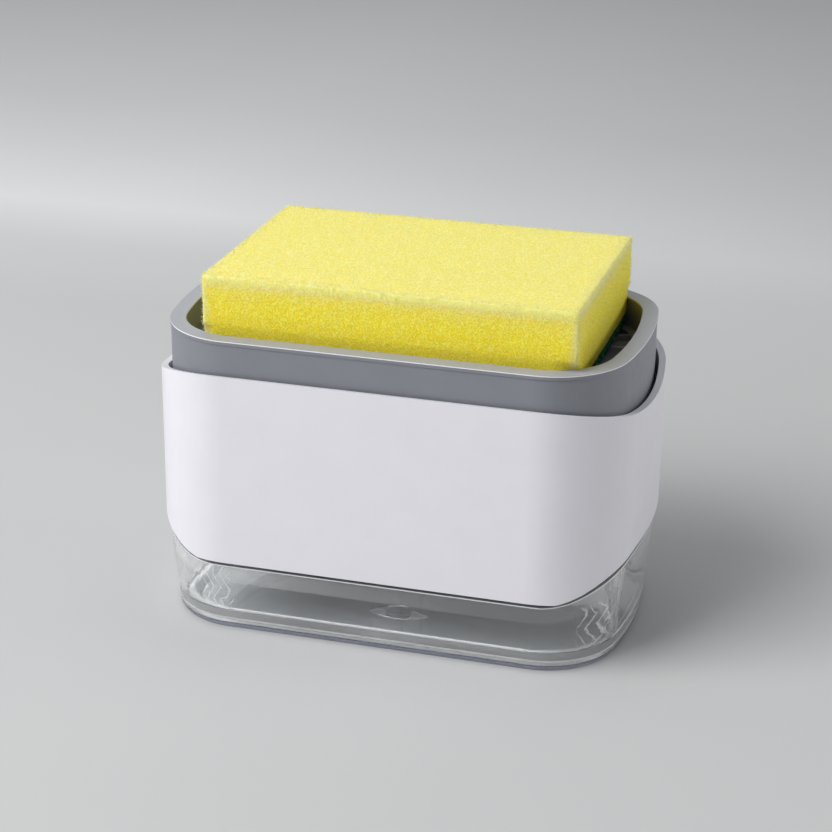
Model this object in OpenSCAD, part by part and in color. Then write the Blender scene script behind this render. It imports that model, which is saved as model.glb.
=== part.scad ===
// Soap pump caddy: a sponge rests on a sprung tray, and pressing it pumps soap up from a clear tank.
// Origin: middle of the footprint, on the surface it stands on. Front face towards -Y.

/* [Sleeve] */
// Width of the white sleeve, left to right
sleeve_w = 132; // [118:1:150]
// Depth of the white sleeve, front to back
sleeve_d = 80; // [74:1:96]
// Radius of the sleeve's four upright corners
sleeve_corner = 23.2; // [18:0.2:28]
// Radius that the sleeve's two ends bow out on
end_r = 124.7; // [110:0.1:200]
// Wall of the sleeve
sleeve_wall = 1.8; // [1.4:0.1:2.4]
// Height of the sleeve's bottom edge over the table, at the front
sleeve_foot = 21.1; // [14:0.1:28]
// How far the bottom edge rises towards the ends
sleeve_foot_rise = 9; // [0:0.5:12]
// Level part of the bottom edge, at the front and back
edge_level = 1.6; // [0.5:0.1:3]
// Height of the sleeve's front edge over the deck
shroud_h = 19; // [17:0.5:26]
// How far the top edge dips towards the ends
shroud_dip = 7; // [0:0.5:8]

/* [Tank] */
// Height of the clear tank
tank_h = 51.5; // [48:0.5:64]
// Inset of the tank's upper part from the sleeve's outside
tank_inset = 3; // [2.6:0.1:5]
// Inset of the part of the tank that shows, at its widest
shoe_inset = 0.8; // [0.3:0.1:1.5]
// Inset of that part at its foot
foot_inset = 3; // [2:0.1:3.6]
// Height up to which that part slopes out
shoe_slope_h = 25; // [18:0.5:28]
// Gap between that part and the sleeve's bottom edge
edge_gap = 1.3; // [0.3:0.1:1.8]
// Wall of the tank
tank_wall = 2.2; // [1.6:0.1:3]
// Thickness of the tank's floor
tank_floor = 3.8; // [3:0.1:5]
// Hollow under the tank's floor
foot_lift = 1.2; // [0.6:0.1:2]
// Width of the foot ring under the tank
foot_ring = 3.6; // [2.5:0.1:5]
// Rounding of the tank's lower outer edge
foot_round = 2.2; // [0.8:0.1:3]
// Rounding between the tank's inner wall and its floor
floor_round = 0.8; // [0.5:0.1:3]
// Width of the eye-shaped hollow in the floor
eye_w = 17; // [12:0.5:22]
// Length of that hollow, front to back
eye_l = 7.5; // [6:0.5:11]
// Depth of that hollow
eye_deep = 0.6; // [0.4:0.1:1.5]
// Place of the hollow, right of the middle
eye_x = 2; // [-4:0.5:4]
// Place of the hollow, in front of the middle
eye_front = 20; // [16:0.5:24]
// Radius of the round boss in the hollow
boss_in_eye_r = 3.6; // [2:0.1:4.5]

/* [Deck] */
// Thickness of the deck that carries the pump
deck_t = 2.5; // [2:0.1:4]
// Depth of the deck's plug in the tank's mouth
plug_deep = 5; // [3:0.5:8]
// Wall of the plug
plug_wall = 1.6; // [1.2:0.1:2.4]
// Height of the stiffening ribs on the deck
deck_rib_h = 2; // [1:0.1:2.4]
// Width of those ribs
deck_rib_w = 1.6; // [1:0.1:2.4]
// Thickness of the gasket on the tank's rim
gasket_t = 1; // [0.6:0.1:2]

/* [Pump] */
// Stroke of the pump
stroke = 7.5; // [5:0.5:9]
// Bore of the pump barrel, as a radius
bore_r = 9; // [8.5:0.1:10]
// Wall of the pump barrel
barrel_wall = 1.5; // [1.2:0.1:2]
// Wall added in the threaded part of the barrel
thread_wall = 1.5; // [1:0.1:2]
// Radius of the pump's flange
flange_r = 17; // [15.5:0.5:20]
// Thickness of the flange
flange_t = 1.8; // [1.4:0.1:3]
// Height of the clamping nut
nut_h = 4.8; // [4:0.2:7]
// Radius of the pump stem
stem_r = 4; // [3.8:0.1:4.2]
// Bore of the pump stem, as a radius
stem_bore_r = 2.2; // [2:0.1:2.3]
// Height of the piston
piston_h = 5.5; // [5:0.1:7]
// Radius of the inlet ball
inlet_ball_r = 2.5; // [2.3:0.1:2.7]
// Radius of the outlet ball
outlet_ball_r = 2.7; // [2.6:0.1:2.8]
// Lift of the inlet ball
inlet_lift = 1.5; // [1:0.1:2]
// Lift of the outlet ball
outlet_lift = 1; // [0.6:0.1:1.2]
// Wire of the return spring
wire_d = 0.9; // [0.7:0.1:1]
// Turns of the return spring
spring_turns = 4.5; // [3.5:0.5:5]
// Outer radius of the dip tube
tube_r = 3.2; // [3:0.1:3.8]
// Wall of the dip tube
tube_wall = 0.9; // [0.7:0.1:1.2]

/* [Tray] */
// How far the tray's rim stays above the sleeve's front edge when it is pressed
rim_reveal = 1.3; // [0.5:0.1:3]
// Width of the tray's flat rim
rim_band = 4.2; // [4:0.1:6]
// Thickness of the rim
rim_t = 2; // [1.6:0.1:3]
// Overhang of the rim's thin outer lip
lip_out = 0.2; // [0.1:0.05:0.4]
// Height of that lip
lip_h = 1.2; // [0.8:0.1:1.6]
// Gap between the tray's skirt and the sleeve's inside
tray_gap = 1; // [0.6:0.1:1.2]
// Extra roundness of the tray's corners
tray_round_more = 0.6; // [0:0.2:4]
// Wall of the tray
tray_wall = 1.8; // [1.4:0.1:2.2]
// Depth of the pan under the rim
pan_deep = 9.8; // [8:0.2:13]
// Thickness of the pan's floor
pan_floor = 2; // [1.6:0.1:3]
// Height of the ledge and ribs that hold the sponge off the floor
ledge_h = 1.5; // [1.4:0.1:2.5]
// Width of the ledge round the pan
ledge_w = 2.6; // [2:0.1:4]
// Width of the ribs on the pan's floor
rib_w = 1.4; // [1:0.1:2.4]

/* [Sponge] */
// Length of the sponge
sponge_l = 99; // [88:0.2:108]
// Thickness of the foam
foam_t = 20.8; // [14:0.2:30]
// How far the foam springs out over the tray's rim, front and back
foam_out = 0.4; // [0:0.1:1]
// Thickness of the scouring pad
pad_t = 3.2; // [2:0.1:6]
// Place of the sponge, right of the middle
sponge_x = 1.8; // [-3:0.1:3]
// Rounding of the foam's upright edges
foam_round = 1; // [0.5:0.5:4]

/* [Hidden] */
$fn = 96;

// Overrun of every cut past the face it opens
cut = 1;
// Gap of a running fit, round the shaft
run_gap = 0.05;
// Gap between pieces that slide past each other loosely
slide_gap = 0.2;
// Gap round the soft sponge
soft_gap = 0.3;
// Gap that keeps a ball off its seat's sharp edge
seat_gap = 0.02;
// Gap between moving pieces at the end of the stroke
end_gap = 0.3;

// Sleeve inside
inner_w = sleeve_w - 2 * sleeve_wall;
inner_d = sleeve_d - 2 * sleeve_wall;
inner_corner = sleeve_corner - sleeve_wall;
arch_steps = 36;
low_curve = 3.8;
y_far = sleeve_d / 2 + cut;
edge_ys = [for (i = [0 : arch_steps]) y_far - 2 * y_far * i / arch_steps];

// Tank outline
tank_w = sleeve_w - 2 * tank_inset;
tank_d = sleeve_d - 2 * tank_inset;
tank_corner = sleeve_corner - tank_inset;
floor_z = foot_lift + tank_floor;
mouth_w = tank_w - 2 * tank_wall;
mouth_d = tank_d - 2 * tank_wall;
mouth_corner = tank_corner - tank_wall;
foot_slope = 0.6;
ring_in = tank_inset - foot_inset - foot_round - foot_ring;
shoe_top = max(sleeve_foot + sleeve_foot_rise, shoe_slope_h) + cut;
step_share = 0.3;

// Deck and its plug
deck_z = tank_h + gasket_t;
deck_top = deck_z + deck_t;
plug_inset = 0.4;
shelf_h = 1.6;
bead_h = 1;
bead_out = 0.6;
bead_l = 10;
guide_w = 3;
guide_gap = 0.15;
guide_lift = 6.4;
guide_z = sleeve_foot + sleeve_foot_rise + guide_lift;
guide_share = 0.25;
shelf_out = tank_inset - sleeve_wall - slide_gap;
guide_out = tank_inset - sleeve_wall - guide_gap;

// Sleeve heights
sleeve_top = deck_top + shroud_h;

// Pump heights, from the flange down
barrel_r = bore_r + barrel_wall;
thread_r = barrel_r + thread_wall;
flange_gasket_t = 0.5;
washer_t = 0.6;
flange_z = deck_top + flange_gasket_t;
flange_top = flange_z + flange_t;
cap_flange_t = 1.2;
cap_flange_out = 4.8;
cap_flange_r = bore_r + cap_flange_out;
cap_spigot = 3.6;
cap_top = flange_top + cap_flange_t;
piston_top = flange_top - cap_spigot - slide_gap;
piston_z = piston_top - piston_h;
cage_top_t = 1.4;
cage_clear = 0.1;
cage_base_t = 1.2;
cage_wall = 2.1;
cage_side_gap = 0.4;
cage_cell_r = inlet_ball_r + cage_side_gap;
cage_r = cage_cell_r + cage_wall;
cage_base_r = bore_r - slide_gap;
inlet_hole_share = 0.8;
inlet_hole_r = inlet_hole_share * inlet_ball_r;
inlet_sit = sqrt(pow(inlet_ball_r, 2) - pow(inlet_hole_r, 2)) + seat_gap;
cage_h = inlet_sit + inlet_ball_r + inlet_lift + cage_clear + cage_top_t;
barrel_floor_z = piston_z - stroke - end_gap - wire_d - cage_h;
barrel_floor_t = 2.4;
nipple_wall = 1.6;
nipple_h = 3.4;
nipple_z = barrel_floor_z - barrel_floor_t - nipple_h;
nut_z = deck_z - washer_t - nut_h;
thread_past = 0.9;
thread_z = nut_z - thread_past;

// Dip tube, straight down from the nipple
foot_gap = 0.4;
foot_slot_h = 0.6;
foot_z = floor_z + foot_gap;
tube_end_z = foot_z + foot_slot_h;
foot_reach = 2.2;
foot_wall = 0.6;

// Stem and outlet valve
stem_clear_z = cap_top + stroke + end_gap;
stem_side_gap = 0.5;
stem_cell_r = outlet_ball_r + stem_side_gap;
outlet_sit = sqrt(pow(outlet_ball_r, 2) - pow(stem_bore_r, 2)) + seat_gap;
cap_seat_drop = 0.8;

// Tray, from the outside in
skirt_w = inner_w - 2 * tray_gap;
skirt_d = inner_d - 2 * tray_gap;
skirt_corner = inner_corner - tray_gap + tray_round_more;
skirt_gap = 0.8;
skirt_z = deck_top + skirt_gap + stroke;
rim_z = sleeve_top + stroke + rim_reveal;
rim_w = skirt_w + 2 * lip_out;
rim_d = skirt_d + 2 * lip_out;
rim_corner = skirt_corner + lip_out;
pan_w = rim_w - 2 * rim_band;
pan_d = rim_d - 2 * rim_band;
pan_corner = rim_corner - rim_band;
pan_z = rim_z - pan_deep;
pan_under = pan_z - pan_floor;
boss_wall = 2.5;
boss_r = stem_r + boss_wall;
under_rib_h = 3;
under_rib_z = max(stem_clear_z, pan_under - under_rib_h);
pan_wall = 1.6;
stem_top = pan_z - cap_seat_drop;
stem_seat_z = stem_top - outlet_sit - outlet_ball_r - outlet_lift - slide_gap;
outlet_cap_out = 0.4;
outlet_cap_r = boss_r + outlet_cap_out;
outlet_cap_t = 1.4;
outlet_hole_r = 0.8;
outlet_ring_r = 2.6;
outlet_holes = 6;
pan_ribs = 8;

// Sponge
sponge_d = pan_d - 2 * soft_gap;
pad_z = pan_z + ledge_h + soft_gap;
foam_z = pad_z + pad_t;
pad_inset = 0.4;

// Return spring between the cage's base and the piston
spring_gap = 0.6;
spring_r = cage_r + spring_gap + wire_d / 2;
spring_low = barrel_floor_z + cage_base_t + wire_d / 2 + seat_gap;
spring_high = piston_z - wire_d / 2 - seat_gap;
spring_sides = 6;
spring_steps = 20;

// Piston and its cup seal
seal_groove = 2.4;
seal_h = 2.6;
seal_lip = 0.8;
piston_gap = 0.3;
seal_gap = 0.4;
piston_r = bore_r - piston_gap;
seal_z = piston_z + (piston_h - seal_h) / 2;

// Radius of the bowed ends of an outline of width w
function bow(w) = end_r - (sleeve_w - w) / 2;

// Middle of an outline's right rear corner arc, and its distance in x from the bow's middle
function corner_y(d, r) = d / 2 - r;
function bow_side(w, d, r) = sqrt(pow(bow(w) - r, 2) - pow(corner_y(d, r), 2));
function corner_x(w, d, r) = w / 2 - bow(w) + bow_side(w, d, r);

// Sector of the right end, cut at the lines through the corner arcs' middles
module end_wedge(w, d, r) {
    x = corner_x(w, d, r);
    y = corner_y(d, r);
    far = x + bow_side(w, d, r);
    polygon([[0, -y], [x, -y], [far, -2 * y], [far, 2 * y], [x, y], [0, y]]);
}

// Sector of the right rear corner
module corner_wedge(w, d, r) {
    x = corner_x(w, d, r);
    y = corner_y(d, r);
    far = x + bow_side(w, d, r);
    polygon([[x, y], [far, 2 * y], [far, d], [x, d]]);
}

// Plate with straight front and back, rounded corners and bowed ends
module plate(w, d, r, z, h) {
    x = corner_x(w, d, r);
    y = corner_y(d, r);
    translate([0, 0, z]) linear_extrude(height = h) union() {
        square([2 * x, d], center = true);
        for (m = [0, 1]) mirror([m, 0]) intersection() {
            translate([w / 2 - bow(w), 0]) circle(r = bow(w));
            end_wedge(w, d, r);
        }
        for (sx = [-1, 1], sy = [-1, 1]) translate([sx * x, sy * y]) circle(r = r);
    }
}

// Rounded rectangle as a block
module block(w, d, r, z, h) {
    translate([0, 0, z]) linear_extrude(height = h) union() {
        square([w - 2 * r, d], center = true);
        square([w, d - 2 * r], center = true);
        for (sx = [-1, 1], sy = [-1, 1])
            translate([sx * (w / 2 - r), sy * (d / 2 - r)]) circle(r = r);
    }
}

// Ring of even wall along the same outline
module ring_plate(w, d, r, wall, z, h) {
    difference() {
        plate(w, d, r, z, h);
        plate(w - 2 * wall, d - 2 * wall, r - wall, z - cut, h + 2 * cut);
    }
}

// Ring about the pump's axis
module round_ring(r_out, r_in, z, h) {
    translate([0, 0, z]) difference() {
        cylinder(r = r_out, h = h);
        translate([0, 0, -cut]) cylinder(r = r_in, h = h + 2 * cut);
    }
}

// Sweeps a 2D section, h high, round that outline: x is measured outwards from it
module sweep_round(w, d, r, h) {
    x = corner_x(w, d, r);
    y = corner_y(d, r);
    for (m = [0, 1]) mirror([m, 0, 0]) {
        for (n = [0, 1]) mirror([0, n, 0]) intersection() {
            translate([x, y]) rotate_extrude() translate([r, 0]) children();
            translate([0, 0, -cut]) linear_extrude(height = h + 2 * cut) corner_wedge(w, d, r);
        }
        intersection() {
            translate([w / 2 - bow(w), 0]) rotate_extrude() translate([bow(w), 0]) children();
            translate([0, 0, -cut]) linear_extrude(height = h + 2 * cut) end_wedge(w, d, r);
        }
    }
    for (n = [0, 1]) mirror([0, n, 0]) translate([-x, y]) rotate([90, 0, 90])
        linear_extrude(height = 2 * x) translate([r, 0]) children();
}

// Points of an arc
function arc(cx, cz, r, from, to, n = 8) =
    [for (i = [0 : n]) let(a = from + (to - from) * i / n) [cx + r * cos(a), cz + r * sin(a)]];

// Place along the sleeve's depth, from 0 in its middle to 1 at its front or back
function edge_share(y) = min(abs(y) / (sleeve_d / 2), 1);

// Clear tank: floor and wall, the part that shows under the sleeve, and the hollow in the floor
module tank() {
    wall_in = -tank_wall;
    floor_in = wall_in - floor_round;
    hub = ring_in - 2 * foot_slope - floor_round;
    middle = hub + floor_round / 2;
    step_x = -step_share * tank_wall;
    step_z = shoe_slope_h / 2;
    color([0.86, 0.9, 0.91, 0.4]) {
        difference() {
            union() {
                sweep_round(tank_w, tank_d, tank_corner, tank_h) polygon(concat(
                    [[hub, floor_z]],
                    arc(floor_in, floor_z + floor_round, floor_round, -90, 0),
                    [[wall_in, tank_h], [0, tank_h], [0, step_z], [step_x, step_z],
                    [step_x, foot_lift], [hub, foot_lift]]));
                plate(tank_w + 2 * middle, tank_d + 2 * middle, tank_corner + middle,
                    foot_lift, tank_floor);
                shoe();
            }
            translate([eye_x, -eye_front, floor_z - eye_deep])
                linear_extrude(height = eye_deep + cut) eye();
        }
        translate([eye_x, -eye_front, floor_z - 2 * eye_deep])
            cylinder(r = boss_in_eye_r, h = 7 / 2 * eye_deep);
    }
}

// Part of the tank that shows: it slopes out from its foot, and its top follows the sleeve's edge
module shoe() {
    foot_out = tank_inset - foot_inset;
    shoe_out = tank_inset - shoe_inset;
    inside = -(1 - step_share) * tank_wall;
    intersection() {
        sweep_round(tank_w, tank_d, tank_corner, shoe_top) polygon(concat(
            [[ring_in, 0]],
            arc(foot_out - foot_round, foot_round, foot_round, -90, 0),
            [[shoe_out, shoe_slope_h], [shoe_out, shoe_top], [inside, shoe_top],
            [inside, 2 * foot_lift], [ring_in - 2 * foot_slope, 2 * foot_lift]]));
        rotate([90, 0, 90]) translate([0, 0, -sleeve_w / 2])
            linear_extrude(height = sleeve_w) edge_side(-cut, -edge_gap);
    }
}

// Side view of what lies between the height low and the sleeve's bottom edge, moved up by lift
module edge_side(low, lift) {
    polygon(concat([[y_far, low], [-y_far, low]],
        [for (y = edge_ys) [-y, sleeve_low(y) + lift]]));
}

// Outline of the eye-shaped hollow, between two arcs
module eye() {
    r = (pow(eye_w, 2) + pow(eye_l, 2)) / (4 * eye_l);
    intersection() {
        translate([0, r - eye_l / 2]) circle(r = r);
        translate([0, eye_l / 2 - r]) circle(r = r);
    }
}

// Height of the sleeve's bottom edge at y: level near the front and back, higher between
function sleeve_low(y) =
    sleeve_foot + sleeve_foot_rise * (1 - pow(min(abs(y) / (sleeve_d / 2 - edge_level), 1), low_curve));

// Side view of the sleeve: both edges curve towards each other at the ends
module sleeve_side() {
    polygon(concat(
        [for (y = edge_ys) [y, sleeve_low(y)]],
        [for (y = edge_ys) [-y, sleeve_top - shroud_dip * (1 - pow(edge_share(y), 2))]]));
}

// White sleeve with the shelf, beads and guide ribs inside
module sleeve() {
    color("white") {
        intersection() {
            ring_plate(sleeve_w, sleeve_d, sleeve_corner, sleeve_wall, 0, sleeve_top + cut);
            rotate([90, 0, 90]) translate([0, 0, -sleeve_w / 2 - cut])
                linear_extrude(height = sleeve_w + 2 * cut) sleeve_side();
        }
        ring_plate(inner_w + sleeve_wall, inner_d + sleeve_wall, inner_corner + sleeve_wall / 2,
            shelf_out + sleeve_wall / 2, deck_z - shelf_h, shelf_h);
        for (m = [0, 1]) mirror([m, 0, 0]) for (n = [0, 1]) mirror([0, n, 0]) {
            guide_rib(guide_share * sleeve_w, sleeve_d / 2, 90);
            guide_rib(sleeve_w / 2, 0, 0);
            bead(guide_share * sleeve_w);
        }
    }
}

// Upright rib between the sleeve's inside and the tank
module guide_rib(x, y, turn) {
    reach = guide_out + sleeve_wall / 2;
    edge = turn == 90 ? y : x;
    translate(turn == 90 ? [x, 0, 0] : [0, y, 0]) rotate([0, 0, turn])
        translate([edge - sleeve_wall / 2 - reach, -guide_w / 2, guide_z])
        cube([reach, guide_w, deck_z - shelf_h / 2 - guide_z]);
}

// Snap bead over the deck's edge
module bead(x) {
    translate([x - bead_l / 2, sleeve_d / 2 - sleeve_wall - bead_out, deck_top])
        cube([bead_l, bead_out + sleeve_wall / 2, bead_h]);
}

// Deck: plate, plug, ribs and the pump's hole
module deck() {
    edge_w = inner_w - 2 * slide_gap;
    edge_d = inner_d - 2 * slide_gap;
    edge_r = inner_corner - slide_gap;
    color([0.93, 0.93, 0.95]) difference() {
        union() {
            plate(edge_w, edge_d, edge_r, deck_z, deck_t);
            ring_plate(mouth_w - 2 * plug_inset, mouth_d - 2 * plug_inset, mouth_corner - plug_inset,
                plug_wall, deck_z - gasket_t - plug_deep, gasket_t + plug_deep + deck_t / 2);
            for (a = [0, 90]) rotate([0, 0, a]) for (s = [-1, 1])
                translate([s * flange_r / 2 - deck_rib_w / 2, -deck_rib_len(a) / 2, deck_top - deck_t / 2])
                cube([deck_rib_w, deck_rib_len(a), deck_rib_h + deck_t / 2]);
        }
        translate([0, 0, deck_z - cut]) cylinder(r = thread_r + slide_gap, h = deck_t + 2 * cut);
        translate([0, 0, deck_top]) cylinder(r = flange_r + slide_gap, h = deck_rib_h + cut);
    }
}

// Length of a deck rib, by the direction it runs in
function deck_rib_len(a) = a == 0 ? mouth_d - 2 * plug_wall : mouth_w - 2 * plug_wall;

module rim_gasket() {
    out = slide_gap;
    wall = tank_wall + plug_inset - out - slide_gap;
    color([0.3, 0.3, 0.32])
        ring_plate(tank_w - 2 * out, tank_d - 2 * out, tank_corner - out, wall, tank_h, gasket_t);
}

module flange_gasket() {
    color([0.3, 0.3, 0.32])
        round_ring(flange_r - slide_gap, thread_r + slide_gap, deck_top, flange_gasket_t);
}

module nut_washer() {
    color([0.3, 0.3, 0.32])
        round_ring(flange_r - slide_gap, thread_r + slide_gap, deck_z - washer_t, washer_t);
}

// Pump body: flange, threaded neck, barrel, inlet seat and nipple
module pump_body() {
    nipple_r = tube_r + nipple_wall;
    color([0.9, 0.92, 0.93]) difference() {
        union() {
            translate([0, 0, flange_z]) cylinder(r = flange_r, h = flange_t);
            translate([0, 0, thread_z]) cylinder(r = thread_r, h = flange_z + flange_t / 2 - thread_z);
            translate([0, 0, barrel_floor_z - barrel_floor_t])
                cylinder(r = barrel_r, h = flange_z - barrel_floor_z + barrel_floor_t);
            translate([0, 0, nipple_z])
                cylinder(r = nipple_r, h = nipple_h + barrel_floor_t / 2);
        }
        translate([0, 0, barrel_floor_z]) cylinder(r = bore_r, h = flange_top - barrel_floor_z + cut);
        translate([0, 0, nipple_z - cut]) cylinder(r = inlet_hole_r, h = barrel_floor_z - nipple_z + 2 * cut);
        translate([0, 0, nipple_z - cut]) cylinder(r = tube_r, h = nipple_h + cut);
    }
}

// Guide bush that closes the barrel round the stem
module pump_cap() {
    color([0.93, 0.93, 0.95]) difference() {
        union() {
            translate([0, 0, flange_top]) cylinder(r = cap_flange_r, h = cap_flange_t);
            translate([0, 0, flange_top - cap_spigot])
                cylinder(r = bore_r, h = cap_spigot + cap_flange_t / 2);
        }
        translate([0, 0, flange_top - cap_spigot - cut])
            cylinder(r = stem_r + run_gap, h = cap_spigot + cap_flange_t + 2 * cut);
    }
}

// Clamping nut with eight grips
module pump_nut() {
    grips = 8;
    grip_r = nut_h / 3;
    color([0.55, 0.57, 0.6]) difference() {
        translate([0, 0, nut_z]) cylinder(r = flange_r, h = nut_h);
        translate([0, 0, nut_z - cut]) cylinder(r = thread_r, h = nut_h + 2 * cut);
        for (i = [0 : grips - 1]) rotate([0, 0, 360 * i / grips])
            translate([flange_r + grip_r / 2, 0, nut_z - cut]) cylinder(r = grip_r, h = nut_h + 2 * cut);
    }
}

// Cage over the inlet ball: base, cell, flow slots and stop
module ball_cage() {
    color([0.75, 0.78, 0.8]) translate([0, 0, barrel_floor_z]) difference() {
        union() {
            cylinder(r = cage_base_r, h = cage_base_t);
            cylinder(r = cage_r, h = cage_h);
        }
        translate([0, 0, -cut]) cylinder(r = cage_cell_r, h = cage_h - cage_top_t + cut);
        translate([0, 0, -cut]) cylinder(r = cage_cell_r / 2, h = cage_h + 2 * cut);
        for (a = [0, 90]) rotate([0, 0, a])
            translate([-cage_r - cut, -cage_cell_r / 3, cage_base_t + wire_d])
            cube([2 * cage_r + 2 * cut, 2 * cage_cell_r / 3, cage_h - cage_top_t - cage_base_t - wire_d]);
    }
}

module inlet_ball() {
    color([0.8, 0.8, 0.82]) translate([0, 0, barrel_floor_z + inlet_sit]) sphere(r = inlet_ball_r);
}

module dip_tube() {
    color([0.88, 0.91, 0.92])
        round_ring(tube_r, tube_r - tube_wall, tube_end_z, nipple_z + nipple_h - tube_end_z);
}

// Slotted foot on the dip tube's end
module tube_foot() {
    slots = 4;
    slot_w = tube_r / 2;
    color([0.7, 0.73, 0.75]) difference() {
        round_ring(tube_r + foot_wall, tube_r, foot_z, foot_slot_h + foot_reach);
        for (i = [0 : slots / 2 - 1]) rotate([0, 0, 45 + 180 * i / (slots / 2)])
            translate([-tube_r - foot_wall - cut, -slot_w / 2, foot_z - cut])
            cube([2 * (tube_r + foot_wall + cut), slot_w, foot_slot_h + cut]);
    }
}

// Points of the spring's ring number i
function coil_ring(i, n, low, high) =
    let(a = 360 * spring_turns * i / n, z = low + (high - low) * i / n)
    [for (k = [0 : spring_sides - 1]) let(b = 360 * k / spring_sides, q = spring_r + wire_d / 2 * cos(b))
        [q * cos(a), q * sin(a), z + wire_d / 2 * sin(b)]];

module return_spring() {
    n = round(spring_turns * spring_steps);
    m = spring_sides;
    pts = [for (i = [0 : n]) each coil_ring(i, n, spring_low, spring_high)];
    sides = [for (i = [0 : n - 1], k = [0 : m - 1]) let(p = i * m + k, q = i * m + (k + 1) % m)
        each [[p, q + m, q], [p, p + m, q + m]]];
    ends = concat([for (k = [1 : m - 2]) [0, k, k + 1]],
        [for (k = [1 : m - 2]) [n * m, n * m + k + 1, n * m + k]]);
    color([0.75, 0.76, 0.78]) polyhedron(points = pts, faces = concat(sides, ends));
}

// Piston pressed on the stem, with a groove for its cup seal
module piston() {
    color([0.5, 0.55, 0.6]) difference() {
        translate([0, 0, piston_z]) cylinder(r = piston_r, h = piston_h);
        translate([0, 0, piston_z - cut]) cylinder(r = stem_r, h = piston_h + 2 * cut);
        round_ring(bore_r + cut, piston_r - seal_groove, seal_z, seal_h);
    }
}

// Cup seal: ring with a wiping lip at each end
module piston_seal() {
    color([0.2, 0.2, 0.22]) difference() {
        union() {
            translate([0, 0, seal_z]) cylinder(r = bore_r - seal_gap, h = seal_h);
            for (z = [seal_z, seal_z + seal_h - seal_lip])
                translate([0, 0, z]) cylinder(r = bore_r - run_gap, h = seal_lip);
        }
        translate([0, 0, seal_z - cut]) cylinder(r = piston_r - seal_groove, h = seal_h + 2 * cut);
    }
}

// Hollow stem with the outlet ball's cell at its top
module stem() {
    color([0.9, 0.92, 0.93]) difference() {
        translate([0, 0, piston_z]) cylinder(r = stem_r, h = stem_top - piston_z);
        translate([0, 0, piston_z - cut]) cylinder(r = stem_bore_r, h = stem_top - piston_z + 2 * cut);
        translate([0, 0, stem_seat_z]) cylinder(r = stem_cell_r, h = stem_top - stem_seat_z + cut);
    }
}

module outlet_ball() {
    color([0.8, 0.8, 0.82]) translate([0, 0, stem_seat_z + outlet_sit]) sphere(r = outlet_ball_r);
}

// Tray: lip, rim, skirt, pan, ledge, ribs and the boss for the stem
module press_tray() {
    rim_low = rim_z - rim_t;
    color([0.52, 0.54, 0.57]) difference() {
        union() {
            ring_plate(rim_w, rim_d, rim_corner, rim_band, rim_z - lip_h, lip_h);
            ring_plate(skirt_w, skirt_d, skirt_corner, rim_band - lip_out, rim_low, rim_t - lip_h / 2);
            ring_plate(skirt_w, skirt_d, skirt_corner, tray_wall, skirt_z, rim_z - lip_h / 2 - skirt_z);
            ring_plate(pan_w + 2 * pan_wall, pan_d + 2 * pan_wall, pan_corner + pan_wall, pan_wall,
                pan_under, rim_z - lip_h / 2 - pan_under);
            plate(pan_w + pan_wall, pan_d + pan_wall, pan_corner + pan_wall / 2, pan_under, pan_floor);
            ring_plate(pan_w + pan_wall, pan_d + pan_wall, pan_corner + pan_wall / 2,
                ledge_w + pan_wall / 2, pan_z - pan_floor / 2, ledge_h + pan_floor / 2);
            pan_rib_set();
            translate([0, 0, stem_clear_z]) cylinder(r = boss_r, h = pan_z - pan_floor / 2 - stem_clear_z);
            under_ribs();
        }
        translate([0, 0, stem_clear_z - cut]) cylinder(r = stem_r, h = pan_z - stem_clear_z + 2 * cut);
        translate([0, 0, pan_z]) cylinder(r = outlet_cap_r + slide_gap, h = ledge_h + cut);
    }
}

// Ribs on the pan's floor, from the outlet towards the ledge
module pan_rib_set() {
    reach_w = pan_w / 2 - 2 * ledge_w;
    reach_d = pan_d / 2 - 2 * ledge_w;
    base = pan_z - pan_floor / 2;
    height = ledge_h + pan_floor / 2;
    for (i = [0 : pan_ribs - 1])
        let(a = 360 * (i + 0.5) / pan_ribs,
            reach = min(reach_w / abs(cos(a)), reach_d / abs(sin(a))))
        rotate([0, 0, a]) translate([2 * boss_r, -rib_w / 2, base])
            cube([reach - 2 * boss_r, rib_w, height]);
}

// Stiffening ribs under the pan, from the boss to the skirt
module under_ribs() {
    start = boss_r - boss_wall / 2;
    top = pan_z - pan_floor / 2;
    for (a = [0, 90, 180, 270]) rotate([0, 0, a]) translate([start, -rib_w / 2, under_rib_z])
        cube([((a % 180 == 0 ? pan_w : pan_d) + pan_wall) / 2 - start, rib_w, top - under_rib_z]);
}

// Outlet cap: a button with a ring of holes
module outlet_cap() {
    color([0.62, 0.64, 0.67]) difference() {
        translate([0, 0, pan_z]) cylinder(r = outlet_cap_r, h = outlet_cap_t);
        for (i = [0 : outlet_holes - 1]) rotate([0, 0, 360 * i / outlet_holes])
            translate([outlet_ring_r, 0, pan_z - cut])
            cylinder(r = outlet_hole_r, h = outlet_cap_t + 2 * cut, $fn = 24);
    }
}

// Space that the pan leaves the sponge, from z up to the rim
module pan_space(z) {
    plate(pan_w - 2 * soft_gap, pan_d - 2 * soft_gap, pan_corner - soft_gap, z, rim_z + soft_gap - z);
}

// Scouring pad, its corners drawn in by the pan
module scour_pad() {
    color([0.04, 0.25, 0.13]) intersection() {
        translate([sponge_x, 0, 0])
            block(sponge_l - 2 * pad_inset, sponge_d - 2 * pad_inset, foam_round, pad_z, pad_t);
        pan_space(pad_z - cut);
    }
}

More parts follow.
